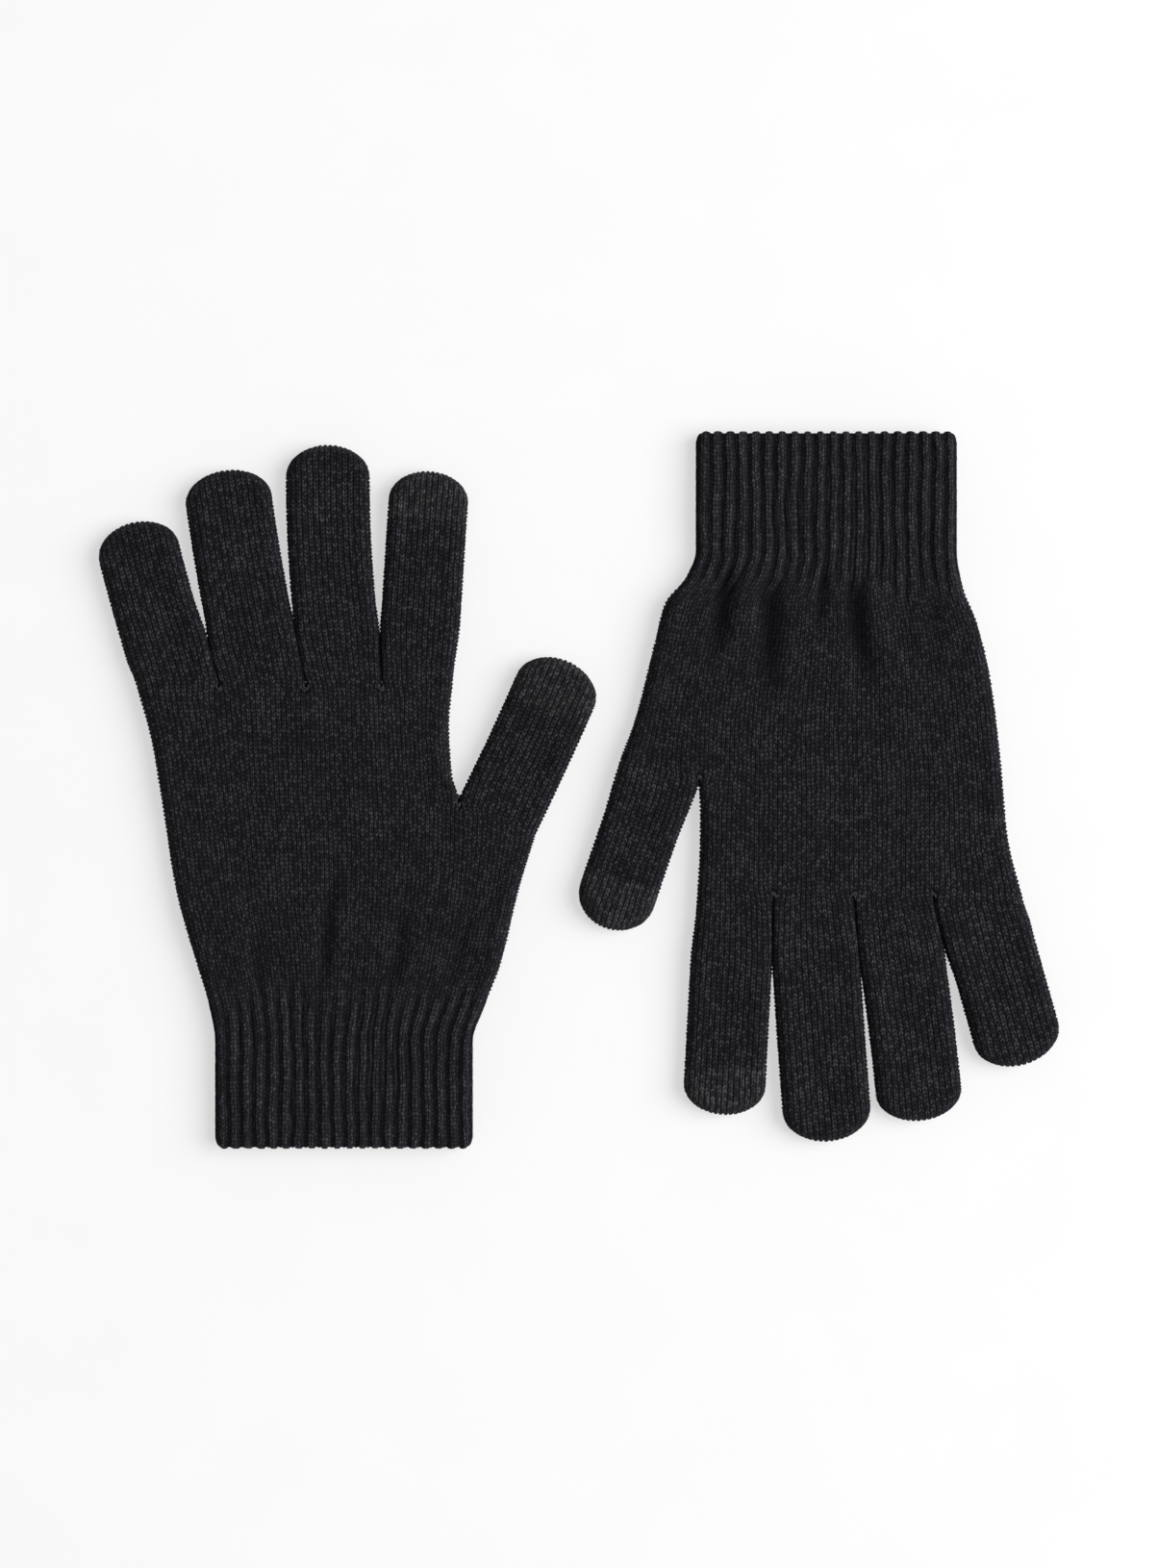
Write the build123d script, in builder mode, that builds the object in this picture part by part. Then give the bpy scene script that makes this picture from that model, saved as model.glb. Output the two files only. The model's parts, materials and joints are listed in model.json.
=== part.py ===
from build123d import *

import os
from dataclasses import dataclass
from math import cos, radians, sin, tan

# A pair of knitted touchscreen gloves lying flat on a table, in millimetres.
# Each glove is a hollow, flattened knit: cuff, palm and five finger tubes.
# A glove is drawn in its own plane: X across it, Y from the cuff's edge to the
# fingertips, Z up from the table, with the thumb on its +X side.

# Knit thickness and flattened heights
wall = 1.6
palm_height = 9.0
finger_height = 8.0
roundness = 0.15  # how much the side rounding falls short of a full half circle

# Lengths along a glove, from the edge of the cuff
welt_length = 4.0
cuff_straight = 34.0
wrist_y = 49.0
elastic_y = (10.0, 19.0, 28.0, 37.0)
elastic_width = 1.2
elastic_depth = 0.8
crotch_y = 149.0

# Bends: the free end of a joint is round about its axis, and clears its parent
joint_gap = 0.4
knuckle_beyond_crotch = 8.7
base_share = 0.42  # share of a digit's length from its crotch that is its base
root_squeeze = 2.0  # a digit is this much narrower at its root
palm_overlap = 8.0  # how far a finger's hollow reaches back into the palm's
thumb_grow = -1.0  # the palm's thumb stub is this much wider on each side
overrun = 12.0  # how far cutting bodies run past an open end
corner_radius = palm_height / 2 + 1
shoulder_radius = 30.0  # plan of the cuff where it widens to the wrist

stitch_radius = 0.8
stitch_sink = 0.2
stitch_beyond_crotch = 1.6
index_touch_length = 15.0
thumb_touch_length = 17.0


@dataclass
class Digit:
    name: str
    root_x: float  # centre of the digit on its crotch line
    root_y: float
    lean: float  # degrees towards +X
    width: float
    length: float  # along the digit, from its crotch line to its tip
    level: bool = True  # its joint axes run along the glove's X


@dataclass
class Glove:
    side: str
    plane: Plane
    cuff_half: float
    wrist_half: float
    little_edge: list  # palm outline on the little finger's side
    thumb_edge: list  # palm outline on the thumb's side
    split_y: float  # where the four-finger palm meets the five-finger palm
    crotch_x: list
    thumb_crotch: tuple
    digits: list


left_glove = Glove(
    side="left",
    plane=Plane(origin=(-75.1, -114.6, 0)),
    cuff_half=41.0,
    wrist_half=45.0,
    little_edge=[(-53.5, 83), (-58, 110), (-66, 147), (-70, 166)],
    thumb_edge=[(54.5, 78), (50, 100), (36.2, 113), (34, 130), (36, 166)],
    split_y=112.0,
    crotch_x=[-39.9, -12.2, 12.2],
    thumb_crotch=(37.7, 111.2),
    digits=[
        Digit("little", -53.2, crotch_y, -16.0, 26.5, 53.5),
        Digit("ring", -26.0, crotch_y, -9.6, 27.6, 68.5),
        Digit("middle", 0.0, crotch_y, -5.0, 26.4, 76.3),
        Digit("index", 23.6, crotch_y, 3.6, 25.2, 67.7),
        Digit("thumb", 49.2, 106.4, 25.4, 27.0, 54.4, level=False),
    ],
)
right_glove = Glove(
    side="right",
    plane=Plane(origin=(79.4, 114.6, 0), x_dir=(-1, 0, 0)),
    cuff_half=41.6,
    wrist_half=45.5,
    little_edge=[(-52.5, 80), (-57, 115), (-62.5, 147), (-66.5, 166)],
    thumb_edge=[(56, 74), (53, 100), (39.8, 116), (40.5, 134), (43, 166)],
    split_y=116.0,
    crotch_x=[-34.0, -8.5, 17.4],
    thumb_crotch=(42.5, 113.5),
    digits=[
        Digit("little", -48.6, crotch_y, -15.0, 28.0, 55.0),
        Digit("ring", -21.3, crotch_y, -7.2, 27.4, 71.8),
        Digit("middle", 4.5, crotch_y, -3.0, 27.6, 78.0),
        Digit("index", 29.5, crotch_y, 3.6, 25.6, 69.5),
        Digit("thumb", 55.2, 111.6, 19.3, 25.4, 49.8, level=False),
    ],
)


def rounded(plane, height, sink, outline):
    """Closed solid of an outline's shape, with its side rounded over its height."""
    with BuildPart() as body:
        with BuildSketch(plane.offset(sink)) as plan:
            add(outline)
        extrude(amount=height)
        rims = body.faces().filter_by(Axis.Z).edges()
        fillet(rims, radius=height / 2 - roundness)
    return body.part


def digit_reach(digit):
    """How far a digit's tip is from its crotch line, across its joint axes."""
    return digit.length * cos(radians(digit.lean)) if digit.level else digit.length


def digit_outline(digit, start, grow):
    """Plan of a digit from start, measured from its crotch line, to its tip.

    A level digit's root edge runs along X, so that it is parallel to its joint.
    """
    lean = radians(digit.lean) if digit.level else 0
    slope = tan(lean)
    half = (digit.width / 2 - grow) / cos(lean)
    high = digit_reach(digit) - digit.width / 2
    knee = base_share * digit.length
    stations = [(high, half), (start, half)]
    if start < knee:
        stations = [(high, half), (knee, half), (start, half - root_squeeze / 2)]
    one_side = [(slope * y - x, y) for y, x in stations]
    other_side = [(slope * y + x, y) for y, x in reversed(stations)]
    with BuildSketch() as plan:
        with BuildLine():
            Polyline(*one_side, *other_side)
            ThreePointArc(
                (slope * high + half, high),
                (slope * high, high + digit.width / 2 - grow),
                (slope * high - half, high),
            )
        make_face()
        fillet(plan.vertices().group_by(Axis.Y)[0], radius=finger_height / 2 + 1)
    angle = 0 if digit.level else -digit.lean
    return plan.sketch.rotate(Axis.Z, angle).moved(Location((digit.root_x, digit.root_y)))


def palm_outline(glove, grow):
    """Plan of the palm from the wrist to past the knuckles."""
    wrist = glove.wrist_half - grow
    low = wrist_y - overrun
    little = [(x + grow, y) for x, y in glove.little_edge]
    thumb = [(x - grow, y) for x, y in glove.thumb_edge]
    with BuildSketch() as plan:
        with BuildLine():
            Spline((-wrist + 3, low), (-wrist, wrist_y), *little)
            Line(little[-1], thumb[-1])
            Spline(*reversed(thumb), (wrist, wrist_y), (wrist - 3, low))
            Line((wrist - 3, low), (-wrist + 3, low))
        make_face()
        fillet(plan.vertices(), radius=corner_radius)
    return plan.sketch


def cuff_outline(glove, grow, top):
    """Plan of the cuff from past its open edge to its rounded end at the wrist."""
    half = glove.cuff_half - grow
    wrist = glove.wrist_half - grow
    with BuildSketch() as plan:
        with BuildLine():
            Polyline(
                (-half, -overrun),
                (-half, cuff_straight),
                (-wrist, top),
                (wrist, top),
                (half, cuff_straight),
                (half, -overrun),
                close=True,
            )
        make_face()
        fillet(plan.vertices().group_by(Axis.Y)[1], radius=shoulder_radius)
        fillet(plan.vertices().group_by(Axis.Y)[0], radius=corner_radius)
        fillet(plan.vertices().group_by(Axis.Y)[-1], radius=corner_radius)
    return plan.sketch


def across_glove(glove, y):
    """Cutting plane across the glove, facing the fingertips."""
    place = glove.plane
    return Plane(origin=place.from_local_coords((0, y, 0)), x_dir=place.x_dir, z_dir=place.y_dir)


def across_digit(glove, digit, along):
    """Cutting plane across a digit, facing its tip; level digits are cut along X."""
    if digit.level:
        return across_glove(glove, digit.root_y + along)
    lean = radians(digit.lean)
    centre = (digit.root_x + along * sin(lean), digit.root_y + along * cos(lean), 0)
    tipward = (digit.root_x + (along + 1) * sin(lean), digit.root_y + (along + 1) * cos(lean), 0)
    start = glove.plane.from_local_coords(centre)
    direction = glove.plane.from_local_coords(tipward) - start
    return Plane(origin=start, z_dir=direction)


def digit_lengths(digit):
    """Where a digit's two axes are, along it from its crotch line."""
    knuckle = knuckle_beyond_crotch
    middle = knuckle + base_share * digit.length
    return knuckle, middle, digit_reach(digit)


def finish(part, name):
    part.label = name
    export_step(part, f"parts/{name}.step")
    box = part.bounding_box()
    print(f"{name:26s} {len(part.solids())} {part.volume:9.0f} {box.min} {box.max}")


def make_cuff(glove):
    inner_height = palm_height - 2 * wall
    outer = rounded(glove.plane, palm_height, 0, cuff_outline(glove, 0, wrist_y + palm_height / 2))
    inner = rounded(glove.plane, inner_height, wall, cuff_outline(glove, wall, wrist_y + overrun))
    band = rounded(
        glove.plane,
        inner_height + 2 * elastic_depth,
        wall - elastic_depth,
        cuff_outline(glove, wall - elastic_depth, wrist_y + overrun),
    )

    with BuildPart() as cuff_elastic:
        for y in elastic_y:
            with BuildSketch(across_glove(glove, y - elastic_width / 2)):
                Rectangle(4 * glove.cuff_half, 4 * palm_height)
            extrude(amount=elastic_width)
        add(band, mode=Mode.INTERSECT)
        add(inner, mode=Mode.SUBTRACT)
    finish(cuff_elastic.part, f"{glove.side}_cuff_elastic")

    with BuildPart() as cuff_rib:
        add(outer)
        add(inner, mode=Mode.SUBTRACT)
        add(cuff_elastic.part, mode=Mode.SUBTRACT)
        split(bisect_by=across_glove(glove, welt_length), keep=Keep.TOP)
    finish(cuff_rib.part, f"{glove.side}_cuff_rib")

    with BuildPart() as cuff_welt:
        add(outer)
        add(inner, mode=Mode.SUBTRACT)
        split(bisect_by=across_glove(glove, welt_length), keep=Keep.BOTTOM)
        split(bisect_by=across_glove(glove, 0), keep=Keep.TOP)
    finish(cuff_welt.part, f"{glove.side}_cuff_welt")


def make_palm(glove):
    inner_height = palm_height - 2 * wall
    finger_inner = finger_height - 2 * wall
    thumb = glove.digits[-1]
    knuckle_face = crotch_y + knuckle_beyond_crotch - finger_height / 2 - joint_gap
    thumb_face = knuckle_beyond_crotch - finger_height / 2 - joint_gap
    palm_outer = rounded(glove.plane, palm_height, 0, palm_outline(glove, 0))
    palm_inner = rounded(glove.plane, inner_height, wall, palm_outline(glove, wall))
    thumb_outer = rounded(glove.plane, palm_height, 0, digit_outline(thumb, -28, thumb_grow))
    thumb_inner = rounded(glove.plane, finger_inner, wall, digit_outline(thumb, -26, wall))
    finger_inners = [
        rounded(glove.plane, finger_inner, wall, digit_outline(digit, -palm_overlap, wall))
        for digit in glove.digits[:-1]
    ]

    with BuildPart() as crotch_stitches:
        centres = [(x, crotch_y + stitch_beyond_crotch) for x in glove.crotch_x]
        centres.append(glove.thumb_crotch)
        with BuildSketch(glove.plane.offset(stitch_sink)):
            with Locations(*centres):
                Circle(stitch_radius)
        extrude(amount=palm_height)
    finish(crotch_stitches.part, f"{glove.side}_crotch_stitches")

    with BuildPart() as palm_hollow:
        add(palm_inner)
        split(bisect_by=across_glove(glove, crotch_y - wall), keep=Keep.BOTTOM)

    with BuildPart() as palm_upper:
        add(palm_outer)
        split(bisect_by=across_glove(glove, glove.split_y), keep=Keep.TOP)
        split(bisect_by=across_glove(glove, knuckle_face), keep=Keep.BOTTOM)
        add([palm_hollow.part, *finger_inners, crotch_stitches.part], mode=Mode.SUBTRACT)
    finish(palm_upper.part, f"{glove.side}_palm_upper")

    with BuildPart() as palm_lower:
        add(palm_outer)
        split(bisect_by=across_glove(glove, glove.split_y), keep=Keep.BOTTOM)
        add(thumb_outer)
        split(bisect_by=across_digit(glove, thumb, thumb_face), keep=Keep.BOTTOM)
        split(bisect_by=across_glove(glove, wrist_y + palm_height / 2 + joint_gap), keep=Keep.TOP)
        add(palm_inner, mode=Mode.SUBTRACT)
        add(thumb_inner, mode=Mode.SUBTRACT)
        add([crotch_stitches.part, palm_upper.part], mode=Mode.SUBTRACT)
    finish(palm_lower.part, f"{glove.side}_palm_lower")


def make_digit(glove, digit):
    inner_height = finger_height - 2 * wall
    knuckle, middle, reach = digit_lengths(digit)
    radius = finger_height / 2
    base_outer = rounded(
        glove.plane, finger_height, 0, digit_outline(digit, knuckle - radius, 0)
    )
    end_outer = rounded(
        glove.plane, finger_height, 0, digit_outline(digit, middle - radius, 0)
    )
    inner = rounded(
        glove.plane, inner_height, wall, digit_outline(digit, -overrun, wall)
    )

    with BuildPart() as base:
        add(base_outer)
        add(inner, mode=Mode.SUBTRACT)
        split(bisect_by=across_digit(glove, digit, middle - radius - joint_gap), keep=Keep.BOTTOM)
    finish(base.part, f"{glove.side}_{digit.name}_base")

    touch = {"index": index_touch_length, "thumb": thumb_touch_length}.get(digit.name)
    with BuildPart() as end:
        add(end_outer)
        add(inner, mode=Mode.SUBTRACT)
        if touch:
            split(bisect_by=across_digit(glove, digit, reach - touch), keep=Keep.BOTTOM)
    finish(end.part, f"{glove.side}_{digit.name}_end")

    if touch:
        with BuildPart() as touch_tip:
            add(end_outer)
            add(inner, mode=Mode.SUBTRACT)
            split(bisect_by=across_digit(glove, digit, reach - touch), keep=Keep.TOP)
        finish(touch_tip.part, f"{glove.side}_{digit.name}_touch_tip")


os.makedirs("parts", exist_ok=True)
for glove in (left_glove, right_glove):
    make_cuff(glove)
    make_palm(glove)
    for digit in glove.digits:
        make_digit(glove, digit)
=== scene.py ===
import json
import math
from types import SimpleNamespace

import bpy
import numpy as np
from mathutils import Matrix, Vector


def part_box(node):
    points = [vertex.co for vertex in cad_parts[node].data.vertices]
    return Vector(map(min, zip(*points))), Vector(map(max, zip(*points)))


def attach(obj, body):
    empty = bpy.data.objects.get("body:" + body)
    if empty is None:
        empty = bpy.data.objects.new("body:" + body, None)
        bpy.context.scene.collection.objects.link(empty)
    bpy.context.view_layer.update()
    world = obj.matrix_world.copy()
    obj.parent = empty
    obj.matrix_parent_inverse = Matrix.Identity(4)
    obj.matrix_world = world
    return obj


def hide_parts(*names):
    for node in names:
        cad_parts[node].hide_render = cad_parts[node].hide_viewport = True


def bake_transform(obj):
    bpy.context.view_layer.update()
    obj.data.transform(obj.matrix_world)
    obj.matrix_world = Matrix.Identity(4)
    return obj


# A pair of charcoal knitted touchscreen gloves lying flat on a pale table.
# Each glove is one knitted surface, worked out stitch column by stitch column
# (a column is a wale, a row of stitches is a course), then cut into pieces that
# follow the CAD bodies. Outlines are in millimetres in the glove's own plane:
# x across it, y from the cuff's edge to the fingertips, thumb on the +x side.

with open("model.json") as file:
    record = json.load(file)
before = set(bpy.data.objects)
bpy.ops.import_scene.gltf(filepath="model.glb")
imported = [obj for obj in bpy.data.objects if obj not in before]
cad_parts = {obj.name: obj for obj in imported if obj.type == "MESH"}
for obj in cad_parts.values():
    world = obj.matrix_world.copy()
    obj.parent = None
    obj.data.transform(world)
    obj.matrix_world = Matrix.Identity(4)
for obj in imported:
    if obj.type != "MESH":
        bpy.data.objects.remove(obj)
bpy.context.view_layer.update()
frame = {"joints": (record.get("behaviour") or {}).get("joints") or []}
joints = {joint["name"]: joint for joint in frame["joints"]}

MM = 0.001
QUARTER = math.pi / 2

# The photograph: its height in pixels and the size of a pixel on the table.
PHOTO_HEIGHT = 1630
MM_PER_PIXEL = 0.308
CAMERA_DISTANCE = 1.5
CAMERA_Y = 0.002
SENSOR_HEIGHT = 24.0

# Mesh density and stitch size
COLS_PER_WALE = 4
ROWS_PER_COURSE = 3
COURSE = 1.3
ROW = COURSE / ROWS_PER_COURSE
WALES_PER_RIB = 4

# Heights of a glove lying flat: its side edges, and the sheets above and below them
MID_Z = 4.25
TOP_PALM = 4.3
TOP_DIGIT = 3.9
BOTTOM = 3.75
FLOOR_GAP = 0.02

# Folded sides
ROUND = 4.0  # arc radius of a free side
CREASE_ROUND = 1.5  # the same where two fingers press against each other
CREASE_Y = 5.0  # how far a crease between two fingers runs on into the palm
CREASE_EASE = 1.6  # above 1, a crease deepens late
THUMB_OPENING = 10.0  # how far beyond its crotch the thumb's side opens to ROUND
FINGER_OPENING = 24.0  # the same for a finger's side

# Slack of the upper sheet, which fades out towards the cuff's rim
SAG = 0.45
RIPPLE = 0.5
SLACK_FADE = 15.0

# Relief
STITCH_RELIEF = 0.17
RIB_RELIEF = 1.0
RIB_LEVEL = 0.8  # share of a rib's height that stands at the sheet's own level
EDGE_BUMP = 0.4

# Cuff: where its parts end, by distance from its rim, and how its rim is shaped
CUFF_Y = 49.0
WELT_Y = 4.0
RIB_END_Y = 54.0
LINING_Y = 62.0
WALL = 1.7
RIM_REACH = 4.0
CORNER_RADIUS = 3.0
CORNER_DEPTH = 2.4
CORNER_REACH = 8.0
PLAIN_SHADE = 0.42  # darkens rib yarn where the rib runs out, to the jersey's tone

# Digits, by distance from the crotch
TURN_REACH = 16.0  # over which the rows turn square to the digit
GROW_REACH = 22.0  # over which the digit grows from its root's width to its own
SINK_REACH = 20.0  # over which its top sinks from the palm's height to its own
PRESS = 0.5  # how far a finger swells towards each neighbour
TIP_CLOSING = 58  # degrees of the tip, each way, that the end row spans

# Darning loops
STITCH_REACH = 2.9
STITCH_ACROSS = 0.8
STITCH_TOP = 4.35
YARN_RADIUS = 0.3

# Stage, in metres and watts
TABLE_RADIUS = 3.0
TABLE_SIDES = 96
SWEEP_RADIUS = 1.2
WALL_HEIGHT = 1.6
TABLE_GLOW = 0.57
SKY_STRENGTH = 0.26
SOFTBOX_AT = (2.2, 0.13, 2.15)
SOFTBOX_SIZE = 2.8
SOFTBOX_POWER = 118.0

DIGIT_WALES = {"little": 16, "ring": 17, "middle": 17, "index": 17, "thumb": 17}
NAMES = list(DIGIT_WALES)
# Whether another finger presses against a digit on its little and thumb sides.
NEIGHBOURS = {
    "little": (0, 1), "ring": (1, 1), "middle": (1, 1), "index": (1, 0), "thumb": (0, 0)
}
PALM_WALES = [DIGIT_WALES[name] for name in NAMES]


def digit(leans, half, length, tip, touch=0.0):
    """A digit's lean at its root and tip in degrees, half width, length and tip height."""
    return SimpleNamespace(leans=leans, half=half, length=length, tip=tip, touch=touch)


GLOVES = {
    "left": SimpleNamespace(
        turn=1,
        scallop=-0.6,
        first_wale=0,
        crotch_y=148.8,
        crotch_x=(-66.5, -39.9, -12.2, 12.2, 34.7),
        thumb_crotch=(36.8, 112.0),
        thumb_outer=(61.3, 100.7),
        little_edge=[
            (0, -41), (34, -41), (46, -43), (59, -47), (83, -53.7), (112, -58.3), (131, -61.6),
            (148.8, -66.5),
        ],
        thumb_edge=[(0, 41), (34, 41), (46, 45), (59, 50), (83, 55.9), (100.7, 61.3)],
        index_edge=[(112, 36.8), (120, 34.4), (136, 33.5), (148.8, 34.7)],
        digits={
            "little": digit((-19, -14), 13.0, 53.4, 10.0),
            "ring": digit((-13, -8), 13.75, 69.2, 9.8),
            "middle": digit((-9, 0), 13.3, 76.5, 10.4),
            "index": digit((3, 4), 12.6, 67.9, 9.6, touch=15.0),
            "thumb": digit((26.5, 23.5), 13.4, 54.4, 10.6, touch=17.0),
        },
        folds=[
            ((-6, 48), (-3, 100), 6.0, 2.2),
            ((-25, 46), (-30, 76), 5.0, 1.2),
            ((15, 48), (20, 88), 5.5, 1.5),
            ((33, 50), (40, 80), 5.0, 1.2),
        ],
    ),
    "right": SimpleNamespace(
        turn=-1,
        scallop=-0.2,
        first_wale=1000,
        crotch_y=149.7,
        crotch_x=(-62.8, -34.0, -8.5, 17.4, 41.4),
        thumb_crotch=(40.8, 112.5),
        thumb_outer=(65.6, 103.9),
        little_edge=[
            (0, -41.5), (38, -41.5), (49, -43.3), (61, -48), (80, -52.5), (105, -55.6),
            (129, -57.8), (149.7, -62.8),
        ],
        thumb_edge=[
            (0, 41.6), (38, 41.6), (46, 44.5), (55, 51.6), (68, 55), (92, 61.2), (103.9, 65.6),
        ],
        index_edge=[(112.5, 40.8), (122, 40.3), (135, 40.5), (149.7, 41.4)],
        digits={
            "little": digit((-16.5, -15.5), 13.9, 54.7, 10.6),
            "ring": digit((-9.5, -5.8), 13.6, 71.2, 9.6),
            "middle": digit((-3, -4.6), 14.0, 77.4, 10.6),
            "index": digit((3.1, 3.1), 13.0, 68.8, 9.8, touch=15.0),
            "thumb": digit((19.5, 18.6), 12.3, 53.4, 11.6, touch=17.0),
        },
        folds=[
            ((29.5, 41), (40, 82), 7.5, 3.2),
            ((16.5, 45), (20.5, 92), 9.0, 3.4),
            ((1, 42), (3, 68), 5.0, 2.0),
            ((-9, 44), (-12, 88), 8.5, 3.3),
            ((-32, 50), (-36, 78), 6.5, 1.5),
        ],
    ),
}


# ---------------------------------------------------------------- outlines

def smooth(x):
    """Eases from 0 to 1 as x goes from 0 to 1."""
    x = np.clip(x, 0.0, 1.0)
    return x * x * (3 - 2 * x)


def curve_at(stations, y):
    """Smooth x of an outline given as (y, x) stations, at the heights y."""
    ys = np.array([station[0] for station in stations], float)
    xs = np.array([station[1] for station in stations], float)
    steps = np.diff(xs) / np.diff(ys)
    slopes = np.concatenate([steps[:1], np.zeros(len(xs) - 2), steps[-1:]])
    turning = steps[:-1] * steps[1:]
    even = 2 * turning / np.where(turning > 0, steps[:-1] + steps[1:], 1.0)
    slopes[1:-1] = np.where(turning > 0, even, 0.0)
    y = np.clip(y, ys[0], ys[-1])
    i = np.clip(np.searchsorted(ys, y, side="right") - 1, 0, len(ys) - 2)
    span = ys[i + 1] - ys[i]
    t = (y - ys[i]) / span
    return (
        xs[i] * (1 + 2 * t) * (1 - t) ** 2
        + xs[i + 1] * t * t * (3 - 2 * t)
        + slopes[i] * span * t * (1 - t) ** 2
        - slopes[i + 1] * span * t * t * (1 - t)
    )


def spread(radius):
    """How much wider a side is laid flat than folded over that radius."""
    return (QUARTER - 1) * radius


def fold_height(arc, radius=ROUND):
    """Height share of a folded side at an arc distance from its edge."""
    return np.sin(np.clip(arc / radius, 0, QUARTER))


def fold_depth(arc, radius=ROUND):
    """Plan distance from a folded side's edge at that arc distance."""
    inside = radius * (1 - np.cos(np.clip(arc / radius, 0, QUARTER)))
    return np.where(arc < radius * QUARTER, inside, arc - spread(radius))


def edge_crown(arc):
    """Extra height of the springy folded side over the slack middle, 0 to 1."""
    return 1 - smooth((arc - 1.2 * ROUND) / (1.3 * ROUND))


def ripple(x, y):
    """Gentle unevenness of slack knit, about -1 to 1, from a few crossed waves."""
    waves = (
        (0.21, 0.05, 0.3), (-0.11, 0.17, 1.9), (0.07, -0.26, 4.1), (0.33, 0.16, 2.2),
        (-0.29, 0.09, 5.3), (0.02, 0.11, 0.8),
    )
    return sum(np.sin(a * x + b * y + c) for a, b, c in waves) / 3.2


def loop(front, back):
    """Joins a front and a back sheet, which share their side columns, into a tube."""
    return np.concatenate([front, back[:, -2:0:-1]], axis=1)


def tube_columns(wales, first):
    """Wale coordinate of each column round a tube of that many wales a side."""
    return first + np.arange(2 * wales * COLS_PER_WALE) / COLS_PER_WALE


# ---------------------------------------------------------------- palm and cuff

def palm_rows(borders, valleys, rounds, inset):
    """Front and back sheets of rows of strips between border points.

    borders is rows x strips+1 x 2, valleys the same without the last axis: 0 where
    two strips run on into each other, 1 where each folds under at the border, with
    the radius that rounds gives.
    """
    sheets = []
    for strip in range(borders.shape[1] - 1):
        wales = PALM_WALES[strip]
        start, end = borders[:, strip], borders[:, strip + 1]
        across = end - start
        width = np.linalg.norm(across, axis=1, keepdims=True)
        across = across / width
        left, right = valleys[:, strip : strip + 1], valleys[:, strip + 1 : strip + 2]
        bend_left, bend_right = rounds[:, strip : strip + 1], rounds[:, strip + 1 : strip + 2]
        flat = width + spread(bend_left) * left + spread(bend_right) * right
        share = np.linspace(0, 1, wales * COLS_PER_WALE + 1)[None, :]
        from_left = share * flat
        from_right = flat - from_left
        along_left = from_left - left * (from_left - fold_depth(from_left, bend_left))
        folded = from_right - fold_depth(from_right, bend_right)
        along_right = width - from_right + right * folded
        along = np.where(share < 0.5, along_left, along_right)
        low_left = left * (1 - fold_height(from_left, bend_left))
        height = 1 - low_left - right * (1 - fold_height(from_right, bend_right))
        crown = left * edge_crown(from_left) + right * edge_crown(from_right)
        plan = start[:, None, :] + across[:, None, :] * along[..., None]
        sheets.append((plan, np.clip(height, 0, 1), crown))
    plan, height, crown = (
        np.concatenate([sheet[part][:, :-1] for sheet in sheets[:-1]] + [sheets[-1][part]], axis=1)
        for part in range(3)
    )
    return closed_rows(plan, height, crown, TOP_PALM, inset)


def closed_rows(plan, height, crown, tops, inset):
    """Tube of points from a plan, its height shares and how high its top is."""
    inset = np.asarray(inset, float).reshape(-1, 1)
    tops = np.asarray(tops, float).reshape(-1, 1)
    slack = SAG * (np.clip(crown, 0, 1) - 1) + RIPPLE * ripple(plan[..., 0], plan[..., 1])
    slack = slack * smooth(plan[..., 1] / SLACK_FADE)
    front_z = MID_Z + height * (tops - inset + np.where(inset > 0.5, 0, slack))
    back_z = MID_Z - height * (BOTTOM - inset)
    front = np.dstack([plan, front_z])
    back = np.dstack([plan, back_z])
    return loop(front, back)


def even_borders(left, right, wales):
    """Border positions between two side points at an even stitch pitch in the flat."""
    counts = np.concatenate([[0], np.cumsum(wales)]) / sum(wales)
    width = np.linalg.norm(right - left, axis=-1)
    flat = width + 2 * spread(ROUND)
    along = np.clip(counts[None, :] * flat[:, None] - spread(ROUND), 0, width[:, None])
    return left[:, None, :] + (right - left)[:, None, :] * (along / width[:, None])[..., None]


def lower_palm(glove):
    """Cuff and five-finger palm: heights, borders, valleys and fold radii of its rows."""
    top = glove.thumb_crotch[1]
    rows = int(round(top / ROW))
    rows -= rows % ROWS_PER_COURSE
    y = np.linspace(0, top, rows + 1)
    share = np.clip((y - CUFF_Y) / (top - CUFF_Y), 0, 1)
    drop = glove.thumb_crotch[1] - glove.thumb_outer[1]
    thumb_y = y - drop * share**2
    left = np.stack([curve_at(glove.little_edge, y), y], axis=1)
    right = np.stack([curve_at(glove.thumb_edge, thumb_y), thumb_y], axis=1)
    even = even_borders(left, right, PALM_WALES)
    crotch = np.broadcast_to(np.array(glove.thumb_crotch), left.shape).copy()
    crotch[:, 1] = y
    four = even_borders(left, crotch, PALM_WALES[:4])
    target = np.concatenate([four, right[:, None, :]], axis=1)
    weight = smooth(share)[:, None, None]
    borders = even * (1 - weight) + target * weight
    valleys = np.zeros(borders.shape[:2])
    valleys[:, 0] = valleys[:, -1] = 1
    valleys[:, 4] = smooth((y - (top - CREASE_Y)) / CREASE_Y) ** CREASE_EASE
    rounds = np.full(valleys.shape, ROUND)
    rounds[:, 4] = CREASE_ROUND
    return y, borders, valleys, rounds


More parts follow.
